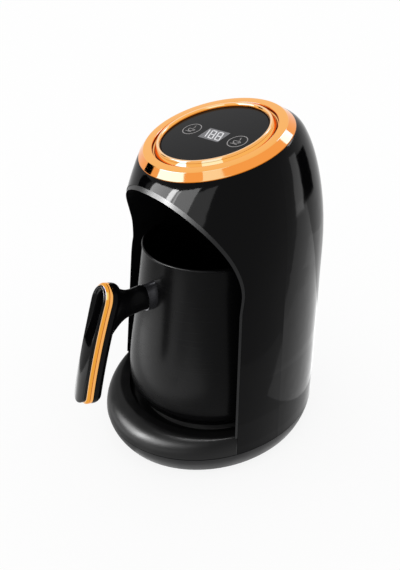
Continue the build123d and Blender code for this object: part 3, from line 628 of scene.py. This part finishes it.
def ribbon(points, width, closed=False):
    """Quads that give a path a width; both are in millimetres on the panel."""
    count = len(points)
    edges = []
    for i in range(count):
        before = points[i - 1] if closed or i > 0 else points[i]
        after = points[(i + 1) % count] if closed or i < count - 1 else points[i]
        du, dv = after[0] - before[0], after[1] - before[1]
        size = sqrt(du * du + dv * dv) or 1.0
        nu, nv = -dv / size * width / 2, du / size * width / 2
        u, v = points[i]
        edges.append(((u + nu, v + nv), (u - nu, v - nv)))
    quads = []
    for i in range(count if closed else count - 1):
        (near_a, near_b), (far_a, far_b) = edges[i], edges[(i + 1) % count]
        quads.append((near_a, near_b, far_b, far_a))
    return quads


def arc(centre, radius, start, stop, steps=24, squeeze=1.0):
    """Points along a circular arc in degrees; squeeze flattens it."""
    turns = [radians(start + (stop - start) * i / steps) for i in range(steps + 1)]
    return [(centre[0] + radius * cos(t), centre[1] + radius * squeeze * sin(t)) for t in turns]


def printed_mark(name, polygons, finish, lift_mm):
    """One flat mesh on the glass from polygons in panel millimetres."""
    mesh = bpy.data.meshes.new(name)
    vertices, faces = [], []
    for polygon in polygons:
        first = len(vertices)
        vertices.extend(panel_point(u, v, lift_mm) for u, v in polygon)
        faces.append(tuple(range(first, first + len(polygon))))
    mesh.from_pydata(vertices, [], faces)
    mesh.materials.append(finish)
    mark = bpy.data.objects.new(name, mesh)
    bpy.context.scene.collection.objects.link(mark)
    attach(mark, "machine")
    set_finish(mark, "display")
    return mark


def printing_ink(name, colour):
    """Ink with the faint tooth of screen printing."""
    finish = new_finish(name, colour, roughness=0.5, specular=0.3)
    add_bump(finish, noise_in(finish, 900.0), 0.1, 0.00003)
    return finish


window_grey = printing_ink("window_grey", (0.17, 0.17, 0.18))
digit_white = printing_ink("digit_white", (0.8, 0.8, 0.82))
icon_grey = printing_ink("icon_grey", (0.3, 0.29, 0.29))
print("mark finishes", window_grey.name, digit_white.name, icon_grey.name)

# %% [markdown]
# ## Display
# The window is a grey rectangle. Each digit in it is made of up to seven straight
# segments, as on a real display. The segments' ends are written for a box that is one
# wide and one tall, which is then scaled, and a slant pushes its upper half sideways.

# %% display window and digits
SQUARE = ((-1, -1), (1, -1), (1, 1), (-1, 1))
WINDOW_HALF_WIDE, WINDOW_HALF_TALL = 8.4, 5.4
DIGIT_TALL, DIGIT_WIDE, DIGIT_STROKE, DIGIT_SLANT = 8.2, 4.3, 0.8, -0.42
SEGMENTS = {
    "top": ((0, 1), (1, 1)),
    "upper_right": ((1, 1), (1, 0.5)),
    "lower_right": ((1, 0.5), (1, 0)),
    "bottom": ((0, 0), (1, 0)),
    "lower_left": ((0, 0), (0, 0.5)),
    "upper_left": ((0, 0.5), (0, 1)),
    "middle": ((0, 0.5), (1, 0.5)),
}
window_face = [(u * WINDOW_HALF_WIDE, v * WINDOW_HALF_TALL) for u, v in SQUARE]
display_window = printed_mark("display_window", [window_face], window_grey, WINDOW_LIFT)


def digit_strokes(left, lit):
    """Ribbons of the lit segments of one digit whose left edge stands at left."""
    strokes = []
    for name in lit:
        path = []
        for along, up_share in SEGMENTS[name]:
            v = (up_share - 0.5) * (DIGIT_TALL - DIGIT_STROKE)
            path.append((left + along * (DIGIT_WIDE - DIGIT_STROKE) + DIGIT_SLANT * v, v))
        strokes.extend(ribbon(path, DIGIT_STROKE))
    return strokes


FIRST_DIGIT_LEFT, EIGHTS_LEFT = -8.9, (-3.0, 2.6)
lit_strokes = digit_strokes(FIRST_DIGIT_LEFT, ("upper_right", "lower_right"))
for left in EIGHTS_LEFT:
    lit_strokes.extend(digit_strokes(left, SEGMENTS))
display_digits = printed_mark("display_digits", lit_strokes, digit_white, DIGIT_LIFT)
print(display_window.name, "and", display_digits.name, "of", len(lit_strokes), "ribbons")

# %% [markdown]
# ## Touch keys
# A finger is sensed through the glass, so a key is only a printed circle. The cup in it
# is five strokes: bowl, rim, ear, saucer and a wisp of steam made of two arcs.

# %% touch keys
KEY_OFFSET, KEY_RADIUS = 19.1, 5.8
BOLD_LINE, THIN_LINE, EAR_LINE = 0.55, 0.4, 0.35
CUP_SHIFT, CUP_RADIUS, SAUCER_HALF, SAUCER_LEVEL = -0.3, 2.1, 2.6, -2.9


def key_strokes(centre_u):
    """Circle with a cup, its saucer and a wisp of steam."""
    circle = arc((centre_u, 0), KEY_RADIUS, 0, 360, 48)[:-1]
    u = centre_u + CUP_SHIFT
    bowl = arc((u, 0.2), CUP_RADIUS, 180, 360, 16, squeeze=1.15)
    rim = [bowl[0], bowl[-1]]
    ear = arc((u + 2.3, -0.6), 0.8, -100, 110, 10)
    saucer = [(u - SAUCER_HALF, SAUCER_LEVEL), (u + SAUCER_HALF, SAUCER_LEVEL)]
    steam = arc((u - 0.2, 1.8), 0.9, -60, 60, 8) + arc((u + 0.6, 3.3), 0.8, 220, 120, 8)
    strokes = ribbon(circle, BOLD_LINE, closed=True)
    for path, width in (
        (bowl, BOLD_LINE),
        (rim, THIN_LINE),
        (ear, EAR_LINE),
        (saucer, THIN_LINE),
        (steam, THIN_LINE),
    ):
        strokes.extend(ribbon(path, width))
    return strokes


for key_name, centre_u in (("touch_key_left", -KEY_OFFSET), ("touch_key_right", KEY_OFFSET)):
    key = printed_mark(key_name, key_strokes(centre_u), icon_grey, KEY_LIFT)
    print(key.name, "at", centre_u, "mm")

# %% [markdown]
# ## Metal and hidden parts
# Under the shell sit the plate, the element, the boards and the screws. They show when
# the pot is lifted or the machine is turned over, so each still gets its own finish.

# %% metal and hidden parts
def plain_metal(name, colour, roughness):
    """Bare or plated metal with an even grain."""
    finish = new_finish(name, colour, roughness, metallic=1.0)
    grain = noise_in(finish, 220.0, 4.0)
    vary_roughness(finish, grain, roughness - 0.06, roughness + 0.08)
    add_bump(finish, grain, 0.04, 0.00005)
    return finish


zinc = plain_metal("zinc_plate", (0.62, 0.62, 0.64), 0.32)
plate_metal = plain_metal("anodised_plate", (0.1, 0.1, 0.105), 0.38)
element_metal = plain_metal("heated_steel", (0.3, 0.26, 0.21), 0.42)
probe_metal = plain_metal("turned_aluminium", (0.72, 0.72, 0.74), 0.28)
hidden_finishes = {
    "base_screws": zinc,
    "board_screws": zinc,
    "bracket_screws": zinc,
    "board_fixings": zinc,
    "handle_screw": zinc,
    "weld_stud": zinc,
    "touch_springs": zinc,
    "sensor_spring": zinc,
    "plate_bracket": zinc,
    "heating_plate": plate_metal,
    "heating_element": element_metal,
    "sensor_guide": element_metal,
    "sensor_probe": probe_metal,
    "rubber_feet": satin_plastic("foot_rubber", (0.012, 0.012, 0.012), 0.75, grain=0.3),
    "plate_seal": satin_plastic("silicone", (0.02, 0.02, 0.02), 0.5, grain=0.1),
    "control_board": satin_plastic("solder_mask", (0.01, 0.09, 0.03), 0.35),
    "power_board": satin_plastic("solder_mask_back", (0.01, 0.09, 0.03), 0.35),
    "display_module": satin_plastic("display_white", (0.5, 0.5, 0.5), 0.5),
    "relay": satin_plastic("relay_blue", (0.01, 0.06, 0.3), 0.4),
    "supply_transformer": plain_metal("varnished_core", (0.2, 0.16, 0.12), 0.5),
    "smoothing_capacitor": satin_plastic("can_sleeve", (0.01, 0.01, 0.02), 0.3),
    "terminal_block": satin_plastic("terminal_green", (0.02, 0.2, 0.05), 0.4),
    "thermal_fuse": satin_plastic("glass_sleeve", (0.7, 0.68, 0.6), 0.8, grain=0.4),
    "sensor_window": new_finish("lens_dark", (0.05, 0.004, 0.008), roughness=0.05, specular=0.5),
}
for name, finish in hidden_finishes.items():
    wear(name, finish)
bare = [name for name, node in nodes.items() if not any(node.data.materials)]
print("hidden parts finished:", len(hidden_finishes), "bare nodes:", bare)

# %% [markdown]
# ## Floor
# A plain white floor runs far past the horizon. For the camera, for reflections and for
# light that passes through glass, most of its white is a plain glow of strength one, and
# the rest is lit as any matt surface is. That lit rest keeps the machine's soft shadow.

# %% floor
FLOOR_HALF = 12.0
FLOOR_GLOW_SHARE = 0.85
floor_mesh = bpy.data.meshes.new("floor")
floor_mesh.from_pydata([(x * FLOOR_HALF, y * FLOOR_HALF, 0) for x, y in SQUARE], [], [(0, 1, 2, 3)])
floor = bpy.data.objects.new("floor", floor_mesh)
bpy.context.scene.collection.objects.link(floor)
floor_white = new_finish("floor_white", (0.95, 0.95, 0.95), roughness=0.9, specular=0.0)
rays = add_node(floor_white, "ShaderNodeLightPath")
seen = rays.outputs["Is Camera Ray"]
for ray_kind in ("Is Glossy Ray", "Is Transmission Ray"):
    either = add_node(floor_white, "ShaderNodeMath", operation="MAXIMUM")
    link(floor_white, seen, either.inputs[0])
    link(floor_white, rays.outputs[ray_kind], either.inputs[1])
    seen = either.outputs["Value"]
share = add_node(floor_white, "ShaderNodeMath", operation="MULTIPLY")
share.inputs[1].default_value = FLOOR_GLOW_SHARE
link(floor_white, seen, share.inputs[0])
glow = add_node(floor_white, "ShaderNodeEmission")
glow.inputs["Color"].default_value = (1.0, 1.0, 1.0, 1.0)
glow.inputs["Strength"].default_value = 1.0
blend = add_node(floor_white, "ShaderNodeMixShader")
link(floor_white, share.outputs["Value"], blend.inputs["Fac"])
link(floor_white, shader_of(floor_white).outputs["BSDF"], blend.inputs[1])
link(floor_white, glow.outputs["Emission"], blend.inputs[2])
material_end = floor_white.node_tree.nodes["Material Output"]
link(floor_white, blend.outputs["Shader"], material_end.inputs["Surface"])
floor_mesh.materials.append(floor_white)
print("floor", 2 * FLOOR_HALF, "m wide")

# %% [markdown]
# ## Light
# The room is an even white, as in a light tent, and gives every colour at its written
# level. Gloss plastic only reads as gloss when something brighter than the room is
# mirrored in it. So softboxes stand around: each is placed by a compass angle from the
# front, a height angle and a distance, and works on mirror-like light alone, so that
# the plain level of the light stays as it is. Bright sheets on the floor do the same for
# the walls that lean towards the table. The rows below give a name, the two angles, the
# distance, the width, the height and the brightness against the room's white; a sheet's
# row gives an angle, its near and far edge, its width and its brightness.

# %% room and softbox
world = bpy.data.worlds.new("studio")
world.use_nodes = True
bpy.context.scene.world = world
sky = world.node_tree.nodes["Background"]
sky.inputs["Color"].default_value = (1.0, 1.0, 1.0, 1.0)
sky.inputs["Strength"].default_value = 1.0
LAMP_AIM = Vector((0.0, 0.0, 0.15)) + POT_AXIS
TENT_RADIUS, SHEET_LIFT = 1.6, 0.002
WHITE = (1.0, 1.0, 1.0)


def compass_way(turn, rise):
    """Direction from the machine; turn counts from the front to the right, in degrees."""
    turn, rise = radians(turn), radians(rise)
    return Vector((sin(turn) * cos(rise), -cos(turn) * cos(rise), sin(rise)))


def face_machine(piece, turn, rise, distance):
    """Stands a lamp or card at a distance and turns its front to the machine."""
    way = compass_way(turn, rise)
    piece.location = LAMP_AIM + way * distance
    piece.rotation_euler = (-way).to_track_quat("-Z", "Y").to_euler()


def softbox(name, turn, rise, distance, width, height, radiance, colour=WHITE):
    """Rectangular lamp that faces the machine and shows in mirror-like surfaces only."""
    lamp_data = bpy.data.lights.new(name, "AREA")
    lamp_data.shape = "RECTANGLE"
    lamp_data.size, lamp_data.size_y = width, height
    lamp_data.energy = radiance * width * height * pi
    lamp_data.color = colour
    lamp = bpy.data.objects.new(name, lamp_data)
    bpy.context.scene.collection.objects.link(lamp)
    face_machine(lamp, turn, rise, distance)
    lamp.visible_diffuse = False
    lamp.visible_camera = False
    return lamp


def floor_reflector(name, turn, near, far, width, radiance):
    """Bright sheet that lies on the floor and faces up, seen in glossy walls only."""
    sheet = softbox(name, 0, 0, 1.0, width, far - near, radiance)
    middle = Vector((0.0, POT_BEHIND_MIDDLE, SHEET_LIFT))
    sheet.location = middle + compass_way(turn, 0) * (near + far) / 2
    sheet.rotation_euler = (pi, 0.0, radians(turn))
    return sheet


plastic_lamps = [
    softbox("front_softbox_left", -30, 21, TENT_RADIUS, 1.14, 0.7, 30.0),
    softbox("front_softbox_core", -18, 21, TENT_RADIUS, 0.2, 0.7, 100.0),
    softbox("front_softbox_middle", 3, 21, TENT_RADIUS, 0.72, 0.7, 24.0),
    softbox("front_softbox_right", 29, 17, TENT_RADIUS, 0.62, 0.62, 5.0),
    softbox("rear_softbox", 174, 43, TENT_RADIUS, 1.0, 0.6, 16.0),
    softbox("overhead_softbox", 0, 88, 1.25, 0.45, 0.45, 30.0),
    softbox("side_strip", 147, -2, 0.75, 0.16, 0.3, 2.6),
    floor_reflector("side_reflector", 150, 0.09, 0.9, 0.2, 0.9),
    floor_reflector("low_reflector_narrow", 96, 0.0, 0.125, 0.8, 0.25),
    floor_reflector("low_reflector_middle", 96, 0.0, 0.155, 0.8, 0.25),
    floor_reflector("low_reflector_wide", 96, 0.0, 0.2, 0.8, 0.25),
    floor_reflector("front_reflector", -6, 0.12, 0.6, 0.34, 3.0),
]
print("lamps for plastic", len(plastic_lamps))

# %% [markdown]
# ## Black cards
# A black card is the opposite of a softbox: where it is mirrored, gloss goes black and
# the edge of a highlight turns crisp. These cards are seen by mirror-like light only, so
# they cast no shadow and take no light away. They belong to the studio, as the floor does.

# %% black cards
flag_black = new_finish("flag_black", (0.0, 0.0, 0.0), roughness=1.0, specular=0.0)


def black_card(name, turn, rise, distance, width, height):
    """Black sheet that faces the machine and shows in mirror-like surfaces only."""
    mesh = bpy.data.meshes.new(name)
    corners = [(x * width / 2, y * height / 2, 0) for x, y in SQUARE]
    mesh.from_pydata(corners, [], [(0, 1, 2, 3)])
    mesh.materials.append(flag_black)
    card = bpy.data.objects.new(name, mesh)
    bpy.context.scene.collection.objects.link(card)
    face_machine(card, turn, rise, distance)
    card.visible_camera = False
    card.visible_diffuse = False
    card.visible_shadow = False
    card.visible_transmission = False
    return card


cards = [
    black_card("left_card", -66, 16, 1.5, 0.36, 0.6),
    black_card("thumb_card", -43, -5.7, 0.62, 0.24, 0.14),
    black_card("rear_card", 163, -7, 0.8, 0.3, 0.34),
]
print("black cards", [card.name for card in cards])

# %% [markdown]
# ## Lamps for the gold
# Plating is yellow, so a white lamp mirrored in it looks yellow, yet bright plating
# shows near-white blocks. Light linking solves this: the gold has lamps of its own, with
# a blue tint that the plating turns to white or peach. Each group of lamps names the
# pieces it lights in a receiver collection, which either includes or excludes them. The
# touch glass and its marks are kept out of the softboxes too, so that they stay dark and
# can be read from every side.

# %% gold lamps and light linking
COOL_WHITE, COOL_PEACH = (0.01, 0.2, 1.0), (0.02, 0.25, 1.0)
gold_lamps = [
    softbox("gold_card_left", -30, 22, TENT_RADIUS, 1.0, 0.7, 12.0, COOL_WHITE),
    softbox("gold_card_right", 31, 34, TENT_RADIUS, 0.9, 0.9, 3.6, COOL_PEACH),
    softbox("gold_card_rear", 171, 44, TENT_RADIUS, 0.5, 0.6, 12.0, COOL_WHITE),
]


def in_slots(*slots):
    """The new pieces whose material slot is one of these."""
    meshes = [piece for piece in bpy.data.objects if piece.type == "MESH"]
    return [piece for piece in meshes if piece.get("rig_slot") in slots]


def light_group(name, pieces, state):
    """Collection for a lamp's light linking that includes or excludes some pieces."""
    group = bpy.data.collections.new(name)
    for piece in pieces:
        group.objects.link(piece)
    for member in group.collection_objects:
        member.light_linking.link_state = state
    return group


gold_pieces = in_slots("gold")
kept_dark = [*in_slots("display"), nodes["touch_glass"]]
not_gold = light_group("not_gold", gold_pieces + kept_dark, "EXCLUDE")
only_gold = light_group("only_gold", gold_pieces, "INCLUDE")
for lamp in plastic_lamps:
    lamp.light_linking.receiver_collection = not_gold
for lamp in gold_lamps:
    lamp.light_linking.receiver_collection = only_gold
bpy.context.scene.view_settings.view_transform = "Standard"
print("gold pieces", [piece.name for piece in gold_pieces])
